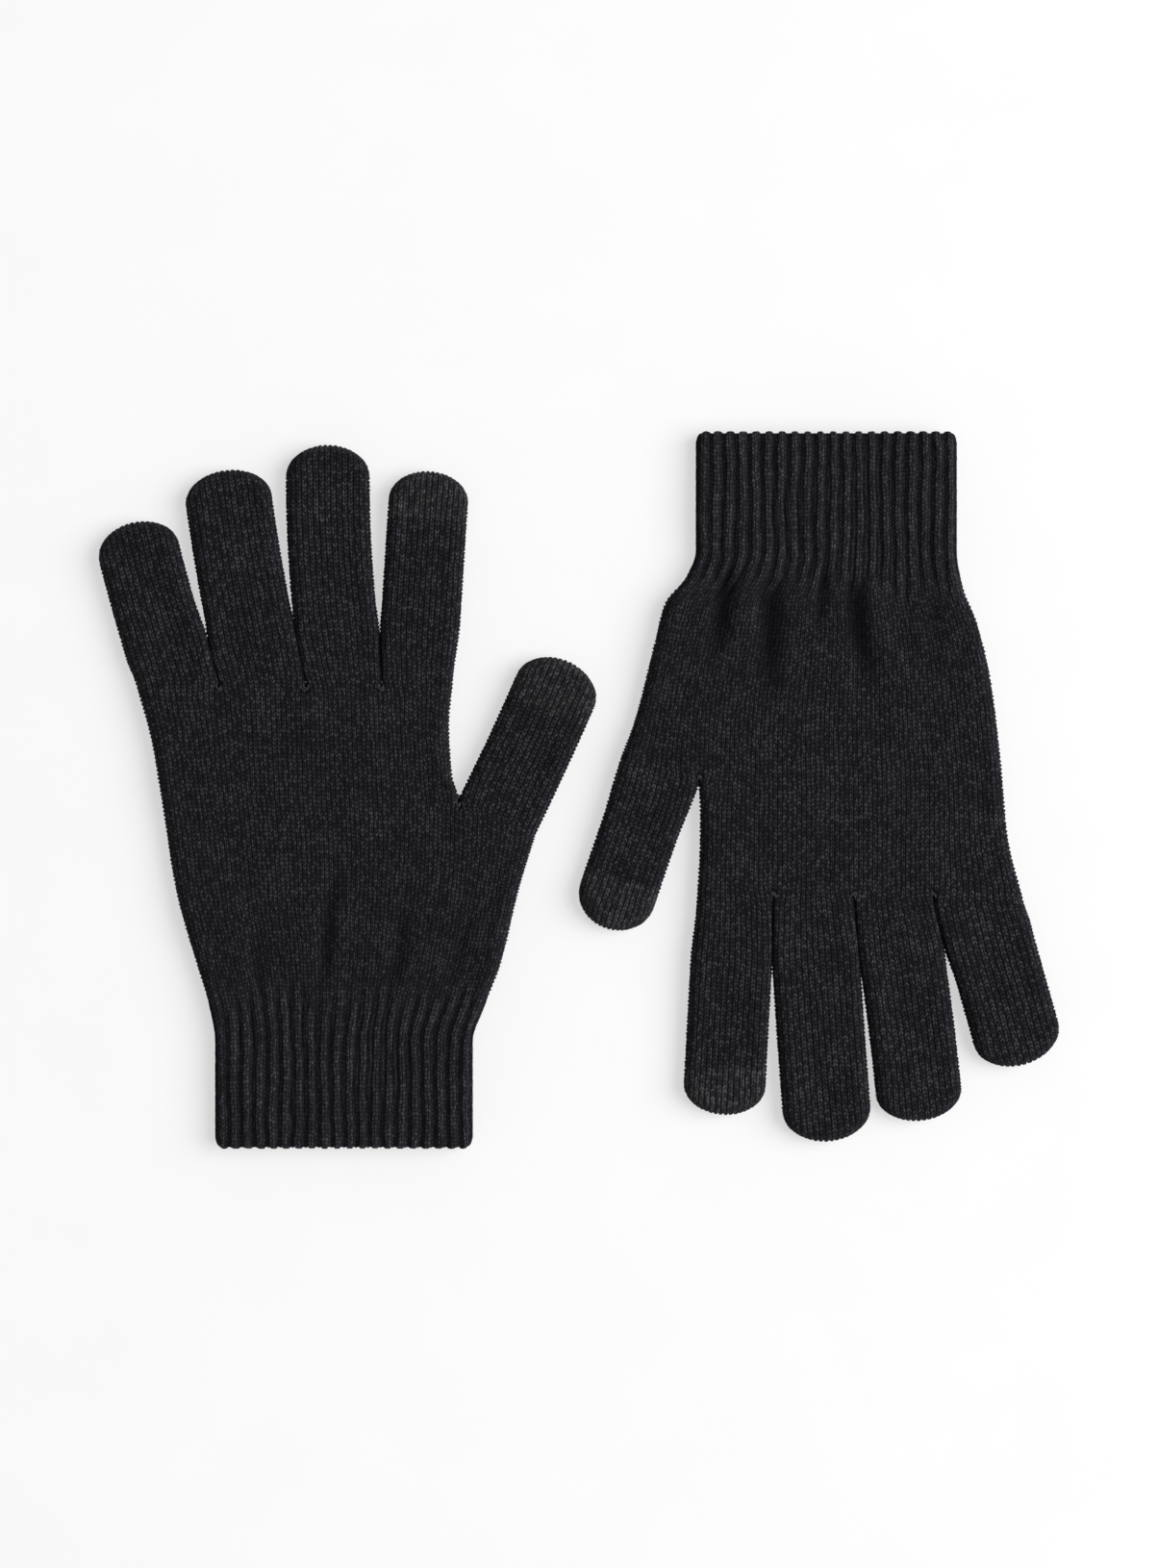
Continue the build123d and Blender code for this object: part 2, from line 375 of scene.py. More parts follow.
def upper_palm(glove):
    """Four-finger palm, from the thumb's crotch to the finger crotches."""
    low, high = glove.thumb_crotch[1], glove.crotch_y
    rows = int(round((high - low) / ROW))
    rows -= rows % ROWS_PER_COURSE
    y = np.linspace(low, high, rows + 1)
    left = np.stack([curve_at(glove.little_edge, y), y], axis=1)
    right = np.stack([curve_at(glove.index_edge, y), y], axis=1)
    start = even_borders(left[:1], right[:1], PALM_WALES[:4])[0]
    share = ((y - low) / (high - low))[:, None]
    borders = np.zeros((len(y), 5, 2))
    borders[..., 1] = y[:, None]
    borders[..., 0] = start[None, :, 0] * (1 - share) + np.array(glove.crotch_x) * share
    borders[:, 0], borders[:, 4] = left, right
    valleys = np.ones(borders.shape[:2])
    valleys[:, 1:4] = (smooth((y - (high - CREASE_Y)) / CREASE_Y) ** CREASE_EASE)[:, None]
    rounds = np.full(valleys.shape, ROUND)
    rounds[:, 1:4] = CREASE_ROUND
    rounds[:, 4] = easing_round(y - low, THUMB_OPENING)
    return y, borders, valleys, rounds


def easing_round(distance, length):
    """Fold radius that opens from pressed to free over a length beyond a crotch."""
    return CREASE_ROUND + (ROUND - CREASE_ROUND) * smooth(distance / length)


def lined_cuff(glove):
    """Rows from deep in the lining, round the cuff's rim, up to the thumb's crotch."""
    y, borders, valleys, rounds = lower_palm(glove)
    lining = np.arange(LINING_Y, 0.9 * WALL, -COURSE)
    angles = np.linspace(0, math.pi, 7)[1:-1]
    rim_y = WALL / 2 * (1 - np.sin(angles))
    rim_inset = WALL / 2 * (1 + np.cos(angles))
    extra_y = np.concatenate([lining, rim_y])
    extra_inset = np.concatenate([np.full(len(lining), WALL), rim_inset])
    keep = y >= WALL / 2
    picks = np.searchsorted(y, extra_y).clip(0, len(y) - 1)
    inner = borders[picks].copy()
    inner[..., 1] = extra_y[:, None]
    middle = (inner[:, :1] + inner[:, -1:]) / 2
    half = np.linalg.norm(inner[:, -1] - inner[:, 0], axis=1) / 2
    inner = middle + (inner - middle) * ((half - extra_inset) / half)[:, None, None]
    inner[..., 1] = extra_y[:, None]
    borders = np.concatenate([inner, borders[keep]])
    valleys = np.concatenate([valleys[picks], valleys[keep]])
    rounds = np.concatenate([rounds[picks], rounds[keep]])
    inset = np.concatenate([extra_inset, np.zeros(keep.sum())])
    points = palm_rows(borders, valleys, rounds, inset)
    course = np.concatenate([-extra_y / COURSE, y[keep] / COURSE])
    plan_y = np.concatenate([extra_y, y[keep]])
    return points, course, plan_y, inset


# ---------------------------------------------------------------- digits

def digit_line(shape, root):
    """Distances, centres and headings of a digit's rows, up to where its tip starts."""
    straight = shape.length - shape.tip
    count = max(int(round(straight / ROW)), 3)
    s = np.linspace(0, straight, count + 1)
    lean = np.radians(shape.leans[0] + (shape.leans[1] - shape.leans[0]) * s / straight)
    forward = np.stack([np.sin(lean), np.cos(lean)], axis=1)
    steps = (forward[1:] + forward[:-1]) / 2 * (s[1] - s[0])
    centre = root + np.concatenate([[[0, 0]], np.cumsum(steps, axis=0)])
    return s, centre, forward


def digit_sides(name, s, root_half, shape_half):
    """Half width, shift towards the neighbours and fold radii of a digit's rows."""
    grow = smooth(s / GROW_REACH)
    half = root_half * (1 - grow) + shape_half * grow
    press = PRESS * smooth(s / 1.5) * (1 - smooth((s - 12) / 14.0))
    beside = np.array(NEIGHBOURS[name])
    half = half + press * beside.sum() / 2
    shift = press * (beside[1] - beside[0]) / 2
    opening = easing_round(s, FINGER_OPENING)
    round_left = np.where(beside[0] > 0, opening, ROUND)
    round_right = np.where(beside[1] > 0, opening, ROUND)
    if name == "thumb":
        round_left = easing_round(s, THUMB_OPENING)
    return half, shift, round_left, round_right


def digit_rows(glove, name, left, right, first_course):
    """A digit's tube from its crotch row, between two border points, to its tip."""
    shape = glove.digits[name]
    wales = DIGIT_WALES[name]
    root_half = np.linalg.norm(right - left) / 2
    root_across = (right - left) / (2 * root_half)
    s, centre, forward = digit_line(shape, (left + right) / 2)
    straight = s[-1]
    square = np.stack([forward[:, 1], -forward[:, 0]], axis=1)
    turn = smooth(s / TURN_REACH)[:, None]
    across = root_across * (1 - turn) + square * turn
    across /= np.linalg.norm(across, axis=1, keepdims=True)
    half, shift, round_left, round_right = digit_sides(name, s, root_half, shape.half)
    centre = centre + across * shift[:, None]

    share = np.linspace(-1, 1, wales * COLS_PER_WALE + 1)[None, :]
    flat_left = (half + spread(round_left))[:, None]
    flat_right = (half + spread(round_right))[:, None]
    along = (share + 1) / 2 * (flat_left + flat_right)
    on_left = along < flat_left
    radius = np.where(on_left, round_left[:, None], round_right[:, None])
    arc = np.where(on_left, along, flat_left + flat_right - along)
    sideways = np.where(on_left, -1, 1) * (half[:, None] - fold_depth(arc, radius))
    plan = centre[:, None, :] + across[:, None, :] * sideways[..., None]
    height = fold_height(arc, radius)

    tip_plan, tip_arc = tip_rows(shape, share[0])
    tip_centre, tip_forward, tip_across = centre[-1], forward[-1], across[-1]
    tip_plan = (
        tip_centre
        + tip_plan[..., :1] * tip_across[None, None, :]
        + tip_plan[..., 1:] * tip_forward[None, None, :]
    )
    plan = np.concatenate([plan, tip_plan])
    arc = np.concatenate([arc, tip_arc])
    height = np.concatenate([height, fold_height(tip_arc)])
    blend = smooth(np.concatenate([s, np.full(len(tip_arc), straight)]) / SINK_REACH)
    tops = TOP_PALM * (1 - blend) + TOP_DIGIT * blend
    points = closed_rows(plan, height, edge_crown(arc), tops, 0)
    course = first_course + np.arange(len(points)) / ROWS_PER_COURSE
    tip_along = shape.tip * np.linspace(0, 1, len(tip_arc) + 1)[1:]
    along = np.concatenate([s, straight + tip_along])
    return points, course, along


def tip_rows(shape, share):
    """Plan offsets and edge distances of a rounded tip whose columns stay nearly straight."""
    flat_half = shape.half + spread(ROUND)
    stretch = (shape.tip + spread(ROUND)) / flat_half
    count = int(round((shape.tip + spread(ROUND)) / ROW))
    g = np.linspace(0, 1, count + 1)[1:, None]
    f = share[None, :]
    u = (f + 1) / 2
    closing = math.radians(TIP_CLOSING)

    def arc_point(angle):
        return np.stack([np.sin(angle), np.cos(angle)], axis=-1)

    base = np.stack([f + 0 * g, 0 * f * g], axis=-1)
    end = arc_point(closing * f + 0 * g)
    side = arc_point(math.pi / 2 - g * (math.pi / 2 - closing))
    mirror = np.array([-1.0, 1.0])
    left, right = side * mirror, side
    corner_low = np.stack([2 * u - 1 + 0 * g, 0 * u * g], axis=-1)
    corner_high = np.stack(
        [math.sin(closing) * (2 * u - 1) + 0 * g, math.cos(closing) + 0 * u * g], axis=-1
    )
    gg, uu = g[..., None], u[..., None]
    disc = (
        (1 - gg) * base + gg * end + (1 - uu) * left + uu * right
        - (1 - gg) * corner_low - gg * corner_high
    )
    radius = np.linalg.norm(disc, axis=-1).clip(1e-6, None)
    outward = disc / radius[..., None] * np.array([1.0, 1.0 / stretch])
    slope = np.linalg.norm(outward, axis=-1)
    outward /= slope[..., None]
    arc = ((1 - radius).clip(0, None) * flat_half) / slope
    flat = disc * flat_half * np.array([1.0, stretch])
    shift = np.where(arc < ROUND * QUARTER, arc - spread(ROUND) - fold_depth(arc), 0.0)
    plan = flat + outward * shift[..., None]
    return plan, arc


# ---------------------------------------------------------------- relief

def rib_number(wale):
    """Number of the rib that a wale belongs to."""
    return np.floor(wale / WALES_PER_RIB + 0.5)


def rib_wave(wale):
    """A two-and-two rib across the wales: 1 on a ridge, 0 in a furrow."""
    wave = np.cos(2 * math.pi * wale / WALES_PER_RIB)
    number = rib_number(wale)
    fullness = 0.25 + 0.25 * np.sin(7.3 * number) * np.sin(2.9 * number + 1)
    return 1 / (1 + np.exp(-4.2 * (wave + 0.1 * fullness)))


def rib_share(wale, y):
    """How much a place is ribbed, fading unevenly from the cuff into the palm."""
    number = rib_number(wale)
    fade = CUFF_Y - 6 + 2.2 * np.sin(2.1 * number) + 1.6 * np.sin(5.3 * number + 1)
    return 1 - smooth((y - fade) / 12.0)


def stitch_relief(wale, course):
    """Height of a stocking stitch over its sheet, about -1 to 1."""
    t = np.abs(wale - np.floor(wale) - 0.5) * 2
    legs = -np.cos(2 * math.pi * t)
    strands = np.cos(2 * math.pi * (course - 0.55 * t))
    row, column = np.floor(course), np.floor(wale * 2)
    uneven = np.sin(12.9 * row + 78.2 * column + 3 * np.sin(4.1 * row - 2.7 * column))
    return 0.75 * legs + 0.12 * strands + 0.35 * uneven


def fold_field(glove, x, y):
    """Depth in millimetres of the folds gathered at the wrist."""
    depth = np.zeros(x.shape)
    for (x0, y0), (x1, y1), width, deep in glove.folds:
        along = np.array([x1 - x0, y1 - y0])
        length = np.linalg.norm(along)
        along = along / length
        s = ((x - x0) * along[0] + (y - y0) * along[1]) / length
        off = (x - x0) * along[1] - (y - y0) * along[0]
        off = off + 0.8 * np.sin(5 * s + x0)
        reach = smooth(s / 0.25) * smooth((1 - s) / 0.55)
        furrow = np.exp(-((off / (0.5 * width)) ** 2)) - 0.3 * np.exp(-((off / width) ** 2))
        depth += deep * reach * furrow
    return depth


def displace(grid, glove, normals):
    """The grid's points with ribs, stitches and folds; notes each sunken place's painted shade."""
    wale, course = grid["wale"], grid["course"]
    rib, points = grid["rib"], grid["points"]
    ridge = rib_wave(wale)
    lift = STITCH_RELIEF * stitch_relief(wale, course) * (1 - 0.3 * rib)
    lift = lift + RIB_RELIEF * rib * (ridge - RIB_LEVEL)
    side = np.clip(1 - np.abs(normals[..., 2]) * 1.6, 0, 1) * (1 - rib)
    uneven = 0.7 + 0.5 * np.sin(1.7 * np.floor(course) + 0.37 * np.floor(course) ** 2)
    across = np.abs(normals[..., 0]) * uneven * np.cos(2 * math.pi * course)
    ahead = np.clip(normals[..., 1], 0, 1) * np.cos(2 * math.pi * wale)
    lift = lift + EDGE_BUMP * side * (across + 0.8 * ahead)
    x, y = points[..., 0], points[..., 1]
    fold = fold_field(glove, x, y) * smooth((points[..., 2] - MID_Z) / 2.5)
    points = points + normals * lift[..., None]
    points[..., 2] = np.maximum(points[..., 2] - fold, FLOOR_GAP)
    sway = 0.24 * np.sin(0.13 * y + 0.19 * wale) + 0.12 * np.sin(0.37 * y - 0.31 * wale)
    points[..., 0] += sway * np.clip(rib, 0, 1) * np.clip(np.abs(normals[..., 2]), 0, 1) ** 2
    # Painted shade: darkens the yarn's colour in the rib furrows and in the folds at the wrist.
    grid["hollow"] = np.clip(0.7 * rib * (1 - ridge) + 0.42 * fold, 0, 1)
    return points


# ---------------------------------------------------------------- assembly

def build_grids(glove):
    """All tubes of a glove, as grids of points with their wale and course numbers."""
    grids = {}
    wales = sum(PALM_WALES)
    points, course, y, inset = lined_cuff(glove)
    wale = tube_columns(wales, glove.first_wale)
    rib = rib_share(wale[None, :], y[:, None])
    grids["lower"] = make_grid(points, wale, course, rib, y)
    grids["lower"]["inset"] = inset

    y_up, borders, valleys, rounds = upper_palm(glove)
    points = palm_rows(borders, valleys, rounds, 0)
    course_up = course[-1] + np.arange(len(y_up)) / ROWS_PER_COURSE
    four = wale_loop(glove, 0, 4)
    grids["upper"] = make_grid(points, four, course_up, np.zeros((len(y_up), 1)), y_up)

    for i, name in enumerate(NAMES):
        if name == "thumb":
            left, right = np.array(glove.thumb_crotch), np.array(glove.thumb_outer)
            first = course[-1]
        else:
            left, right = borders[-1, i], borders[-1, i + 1]
            first = course_up[-1]
        points, rows, along = digit_rows(glove, name, left, right, first)
        loop_wale = wale_loop(glove, i, i + 1)
        grids[name] = make_grid(points, loop_wale, rows, np.zeros((len(along), 1)), along)
        grids[name]["root"] = (left + right) / 2
    return grids


def wale_loop(glove, low, high):
    """Wale numbers round a tube of the strips low to high, as the palm counts them."""
    counts = np.concatenate([[0], np.cumsum(PALM_WALES)])
    total = counts[-1]
    cols = (counts[high] - counts[low]) * COLS_PER_WALE
    front = counts[low] + np.arange(cols + 1) / COLS_PER_WALE
    back = 2 * total - front[-2:0:-1]
    return glove.first_wale + np.concatenate([front, back])


def make_grid(points, wale, course, rib, along):
    """A tube of points with the wale, course and rib share of each."""
    rows, cols = points.shape[:2]
    return {
        "points": points,
        "wale": np.broadcast_to(wale, (rows, cols)),
        "course": np.broadcast_to(np.asarray(course)[:, None], (rows, cols)),
        "rib": np.broadcast_to(rib, (rows, cols)),
        "along": along,
    }


def quads(rows, cols, offset):
    """Faces of a tube of rows x cols points, numbered from offset."""
    i = np.arange(rows - 1)[:, None] * cols
    j = np.arange(cols)[None, :]
    k = (j + 1) % cols
    return np.stack([i + j, i + k, i + cols + k, i + cols + j], axis=-1).reshape(-1, 4) + offset


def welded_normals(grids):
    """Normals of all grids as one surface, so that they agree where tubes meet."""
    points = np.concatenate([g["points"].reshape(-1, 3) for g in grids.values()])
    faces, offset = [], 0
    for g in grids.values():
        rows, cols = g["points"].shape[:2]
        faces.append(quads(rows, cols, offset))
        offset += rows * cols
    faces = np.concatenate(faces)
    _, key = np.unique(np.round(points * 1e4).astype(np.int64), axis=0, return_inverse=True)
    key = key.reshape(-1)
    diagonal_a = points[faces[:, 2]] - points[faces[:, 0]]
    diagonal_b = points[faces[:, 3]] - points[faces[:, 1]]
    area = np.cross(diagonal_a, diagonal_b)
    total = np.zeros((key.max() + 1, 3))
    for corner in range(4):
        for axis in range(3):
            total[:, axis] += np.bincount(
                key[faces[:, corner]], weights=area[:, axis], minlength=len(total)
            )
    normal = total[key]
    normal /= np.linalg.norm(normal, axis=1, keepdims=True).clip(1e-12, None)
    out, offset = {}, 0
    for name, g in grids.items():
        size = g["points"].shape[0] * g["points"].shape[1]
        out[name] = normal[offset : offset + size].reshape(g["points"].shape)
        offset += size
    return out


def close_tips(grids):
    """Makes the last row's front and back one line along the fingertip."""
    for name in NAMES:
        points = grids[name]["points"]
        cols = points.shape[1] // 2
        front = points[-1, 1:cols]
        back = points[-1, :cols:-1]
        middle = (front + back) / 2
        points[-1, 1:cols] = middle
        points[-1, :cols:-1] = middle


def place(side, glove, points):
    """Glove plane in millimetres to the row frame in metres."""
    low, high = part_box(f"{side}_cuff_welt")
    origin = np.array([(low[0] + high[0]) / 2, low[1] if glove.turn > 0 else high[1], 0])
    turned = points * np.array([glove.turn, glove.turn, 1])
    return origin + turned * MM


def smooth_mesh(name, vertices, faces, material):
    """A mesh of one material, shaded smooth."""
    mesh = bpy.data.meshes.new(name)
    mesh.from_pydata(vertices.tolist(), [], faces)
    mesh.polygons.foreach_set("use_smooth", np.ones(len(mesh.polygons), bool))
    mesh.materials.append(material)
    return mesh


def add_object(name, data):
    """An object with that data, linked into the scene."""
    made = bpy.data.objects.new(name, data)
    bpy.context.scene.collection.objects.link(made)
    return made


def add_piece(side, glove, grid, normals, name, low, high, material, closed=False):
    """A mesh of the grid's rows low to high, with knit UVs and the glove's own normals."""
    points = grid["points"][low : high + 1]
    rows, cols = points.shape[:2]
    vertices = place(side, glove, points.reshape(-1, 3))
    faces = quads(rows, cols, 0)
    if closed:
        vertices, faces, keep = weld_last_row(vertices, faces, rows, cols)
    else:
        keep = np.arange(rows * cols)
    mesh = smooth_mesh(name, vertices, faces.tolist(), material)
    loops = np.zeros(len(mesh.loops), np.int32)
    mesh.loops.foreach_get("vertex_index", loops)
    wale = grid["wale"][low : high + 1].reshape(-1)[keep]
    course = grid["course"][low : high + 1].reshape(-1)[keep]
    uv = np.stack([wale[loops], course[loops]], axis=1)
    fix_seam(uv, mesh)
    layer = mesh.uv_layers.new(name="knit")
    layer.data.foreach_set("uv", uv.astype(np.float32).reshape(-1))
    # Painted shade in rib furrows and folds; on rib pieces also a darker tone where the rib runs
    # out.
    hollow = mesh.attributes.new("hollow", "FLOAT", "POINT")
    shading_and_tone = grid["hollow"][low : high + 1].reshape(-1)[keep]
    if material is RIB:
        plain = 1 - grid["rib"][low : high + 1].reshape(-1)[keep]
        shading_and_tone = np.clip(shading_and_tone + PLAIN_SHADE * plain, 0, 1)
    hollow.data.foreach_set("value", shading_and_tone.astype(np.float32))
    turn = np.array([glove.turn, glove.turn, 1])
    turned = normals[low : high + 1].reshape(-1, 3)[keep] * turn
    mesh.normals_split_custom_set_from_vertices(turned.tolist())
    return add_object(name, mesh)


def weld_last_row(vertices, faces, rows, cols):
    """Joins the back half of the last row to its front half."""
    half = cols // 2
    index = np.arange(rows * cols)
    last = (rows - 1) * cols
    for j in range(half + 1, cols):
        index[last + j] = last + cols - j
    keep = np.unique(index)
    number = np.zeros(rows * cols, int)
    number[keep] = np.arange(len(keep))
    return vertices[keep], number[index[faces]], keep


def fix_seam(uv, mesh):
    """Keeps a face's wale numbers together where the tube closes on its first column."""
    starts = np.zeros(len(mesh.polygons), np.int32)
    totals = np.zeros(len(mesh.polygons), np.int32)
    mesh.polygons.foreach_get("loop_start", starts)
    mesh.polygons.foreach_get("loop_total", totals)
    wale = uv[:, 0]
    for corners in (3, 4):
        pick = starts[totals == corners]
        if not len(pick):
            continue
        index = pick[:, None] + np.arange(corners)
        values = wale[index]
        torn = values.max(axis=1) - values.min(axis=1) > 2
        rows = values[torn]
        high = rows.max(axis=1, keepdims=True)
        step = 1 / COLS_PER_WALE
        rows = np.where(high - rows > 2, high + step, rows)
        values[torn] = rows
        wale[index] = values


# ---------------------------------------------------------------- materials

class Nodes:
    """Small helper that writes shader maths as calls."""

    def __init__(self, name):
        self.material = bpy.data.materials.new(name)
        self.material.use_nodes = True
        self.tree = self.material.node_tree
        self.tree.nodes.clear()

    def add(self, kind, **settings):
        node = self.tree.nodes.new(kind)
        for key, value in settings.items():
            setattr(node, key, value)
        return node

    def link(self, source, target):
        self.tree.links.new(source, target)

    def feed(self, value, socket):
        """Sets a number on a socket, or links a node's output to it."""
        if isinstance(value, (int, float)):
            socket.default_value = value
        else:
            self.link(value, socket)

    def math(self, operation, a, b=0.0, clamp=False):
        node = self.add("ShaderNodeMath", operation=operation, use_clamp=clamp)
        for socket, value in zip(node.inputs, (a, b)):
            self.feed(value, socket)
        return node.outputs[0]

    def noise(self, vector, scale, detail=2.0, roughness=0.5):
        node = self.add("ShaderNodeTexNoise")
        node.inputs["Scale"].default_value = scale
        node.inputs["Detail"].default_value = detail
        node.inputs["Roughness"].default_value = roughness
        self.link(vector, node.inputs["Vector"])
        return node.outputs["Fac"]

    def ramp(self, value, stops):
        node = self.add("ShaderNodeValToRGB")
        elements = node.color_ramp.elements
        while len(elements) < len(stops):
            elements.new(0.5)
        for element, (position, colour) in zip(elements, stops):
            element.position = position
            element.color = (*colour, 1)
        self.link(value, node.inputs[0])
        return node.outputs[0]

    def bump(self, height, strength, distance):
        node = self.add("ShaderNodeBump")
        node.inputs["Strength"].default_value = strength
        node.inputs["Distance"].default_value = distance
        self.link(height, node.inputs["Height"])
        return node.outputs[0]

    def surface(self, colour, roughness, specular):
        """A principled shader on the material's output, as its inputs."""
        shader = self.add("ShaderNodeBsdfPrincipled")
        self.link(colour, shader.inputs["Base Color"])
        self.feed(roughness, shader.inputs["Roughness"])
        self.feed(specular, shader.inputs["Specular IOR Level"])
        self.link(shader.outputs[0], self.add("ShaderNodeOutputMaterial").inputs[0])
        return shader.inputs


def stitch_strands(n, uv, flat, beads):
    """Height of the slanted strands, 0 to 1, and each stitch's own brightness."""
    split = n.add("ShaderNodeSeparateXYZ")
    n.link(uv, split.inputs[0])
    wander = n.math("MULTIPLY", n.math("SUBTRACT", n.noise(flat, 0.55, 3.0), 0.5), 0.55)
    sideways = n.math("MULTIPLY", n.math("SUBTRACT", n.noise(flat, 0.8, 3.0), 0.5), 0.45)
    wale = n.math("ADD", split.outputs[0], sideways)
    course = n.math("ADD", split.outputs[1], wander)
    per_column = n.add("ShaderNodeTexWhiteNoise", noise_dimensions="1D")
    n.link(n.math("FLOOR", wale), per_column.inputs["W"])
    course = n.math("ADD", course, n.math("MULTIPLY", per_column.outputs["Value"], 0.7))

    in_column = n.math("FRACT", wale)
    leg = n.math("MULTIPLY", n.math("ABSOLUTE", n.math("SUBTRACT", in_column, 0.5)), 2.0)
    sloped = n.math("SUBTRACT", course, n.math("MULTIPLY", leg, 0.7))
    across = n.math("SINE", n.math("MULTIPLY", leg, math.pi))
    along = n.math("SINE", n.math("MULTIPLY", n.math("FRACT", sloped), math.pi))
    grain = n.math("MULTIPLY", n.math("POWER", across, 0.45), n.math("POWER", along, beads))
    middle = n.math("SINE", n.math("MULTIPLY", in_column, math.pi))
    column = n.math("ADD", n.math("MULTIPLY", middle, 0.88), 0.12)
    height = n.math("MULTIPLY", grain, column)

    cell = n.add("ShaderNodeCombineXYZ")
    n.link(n.math("FLOOR", n.math("MULTIPLY", wale, 2.0)), cell.inputs[0])
    n.link(n.math("FLOOR", sloped), cell.inputs[1])
    per_stitch = n.add("ShaderNodeTexWhiteNoise", noise_dimensions="3D")
    n.link(cell.outputs[0], per_stitch.inputs["Vector"])
    own = n.math("POWER", per_stitch.outputs["Value"], 1.6)
    own = n.math("ADD", n.math("MULTIPLY", own, 1.35), 0.58)
    return height, own


def knit_material(name, gap, yarn, fibre, fleck, sheen, beads):
    """Knitted yarn in four tones, from painted shade in the gaps between stitches to its brightest
    flecks.
    """
    n = Nodes(name)
    uv = n.add("ShaderNodeUVMap", uv_map="knit").outputs[0]
    scaled = n.add("ShaderNodeVectorMath", operation="MULTIPLY")
    n.link(uv, scaled.inputs[0])
    scaled.inputs[1].default_value = (1.6, 1.3, 1.0)
    flat = scaled.outputs[0]

    height, own = stitch_strands(n, uv, flat, beads)
    fibres = n.noise(flat, 5.5, 4.0, 0.7)
    hairs = n.noise(flat, 14.0, 2.0, 0.6)
    cloud = n.math("ADD", n.math("MULTIPLY", n.noise(flat, 0.09, 2.0), 0.7), 0.65)
    # Painted shade in rib furrows and wrist folds, and the rib's darker tone where it runs out,
    # read from the mesh.
    hollow = n.add("ShaderNodeAttribute", attribute_name="hollow").outputs["Fac"]

    # Colour follows the strands' height: painted shade in the gaps between stitches and towards
    # the strands' edges. The fibres, each stitch's own brightness and the cloud are the yarn's own
    # tone.
    shade_and_yarn_tone = n.math("MULTIPLY", height, n.math("ADD", fibres, 0.1))
    shade_and_yarn_tone = n.math("MULTIPLY", shade_and_yarn_tone, own)
    shade_and_yarn_tone = n.math("MULTIPLY", shade_and_yarn_tone, n.math("SUBTRACT", 1.0, n.math("MULTIPLY", hollow, 0.8)))
    shade_and_yarn_tone = n.math("MULTIPLY", shade_and_yarn_tone, cloud, clamp=True)
    spark = n.math("SUBTRACT", n.math("MULTIPLY", hairs, height), 0.47)
    spark = n.math("MULTIPLY", spark, 7.0, clamp=True)
    colour = n.add("ShaderNodeMix", data_type="RGBA")
    n.link(spark, colour.inputs["Factor"])
    # The gap stop is painted shade between the stitches.
    n.link(n.ramp(shade_and_yarn_tone, [(0.0, gap), (0.35, yarn), (1.0, fibre)]), colour.inputs[6])
    colour.inputs[7].default_value = (*fleck, 1)

    relief = n.math("ADD", height, n.math("MULTIPLY", fibres, 0.55))
    rough = n.math("ADD", n.math("MULTIPLY", fibres, 0.15), 0.8)
    inputs = n.surface(colour.outputs[2], rough, 0.06)
    n.link(n.bump(relief, 0.75, 0.0005), inputs["Normal"])
    inputs["Sheen Weight"].default_value = sheen
    inputs["Sheen Roughness"].default_value = 0.5
    inputs["Sheen Tint"].default_value = (0.6, 0.58, 0.68, 1)
    return n.material


def yarn_material():
    """Plain twisted yarn of the darned corners."""
    n = Nodes("darning_yarn")
    place_at = n.add("ShaderNodeTexCoord").outputs["Object"]
    fibres = n.noise(place_at, 3500.0, 3.0, 0.7)
    colour = n.ramp(fibres, [(0.3, (0.009, 0.009, 0.0105)), (0.7, (0.06, 0.058, 0.066))])
    inputs = n.surface(colour, 0.9, 0.06)
    n.link(n.bump(fibres, 0.6, 0.0002), inputs["Normal"])
    inputs["Sheen Weight"].default_value = 0.06
    return n.material


def table_material():
    """Matt white board that glows a little, so the photograph's bright ground stays bright."""
    n = Nodes("table")
    place_at = n.add("ShaderNodeTexCoord").outputs["Object"]
    greys = [(0.3, (0.375, 0.375, 0.375)), (0.7, (0.385, 0.385, 0.385))]
    inputs = n.surface(n.ramp(n.noise(place_at, 30.0, 3.0), greys), 0.9, 0.1)
    inputs["Emission Color"].default_value = (1, 1, 1, 1)
    inputs["Emission Strength"].default_value = TABLE_GLOW
    return n.material


# Each knit's gap colour is painted shade between the stitches; yarn, fibre and fleck are the
# yarn's own tones.
JERSEY = knit_material(
    "charcoal_jersey", gap=(0.0015, 0.0015, 0.0018), yarn=(0.0184, 0.0176, 0.0216),
    fibre=(0.0735, 0.071, 0.086), fleck=(0.15, 0.148, 0.163), sheen=0.05, beads=0.75,
)
RIB = knit_material(
    "charcoal_rib", gap=(0.0022, 0.0021, 0.0026), yarn=(0.0285, 0.0271, 0.0336),
    fibre=(0.111, 0.1065, 0.128), fleck=(0.21, 0.206, 0.224), sheen=0.06, beads=0.8,
)
YARN = yarn_material()
TOUCH = knit_material(
    "conductive_jersey", gap=(0.0018, 0.0018, 0.002), yarn=(0.024, 0.0232, 0.0255),
    fibre=(0.095, 0.092, 0.098), fleck=(0.28, 0.275, 0.28), sheen=0.06, beads=0.4,
)


# ---------------------------------------------------------------- pieces


def finger_direction(joint):
    """Across a joint's axis, towards the digit's tip, in the plane of the table."""
    x, y, _ = joint["axis"]
    return (-y, x, 0.0)


def row_at(grid, y):
    """Number of the row nearest a distance along the tube."""
    return int(np.argmin(np.abs(grid["along"] - y)))


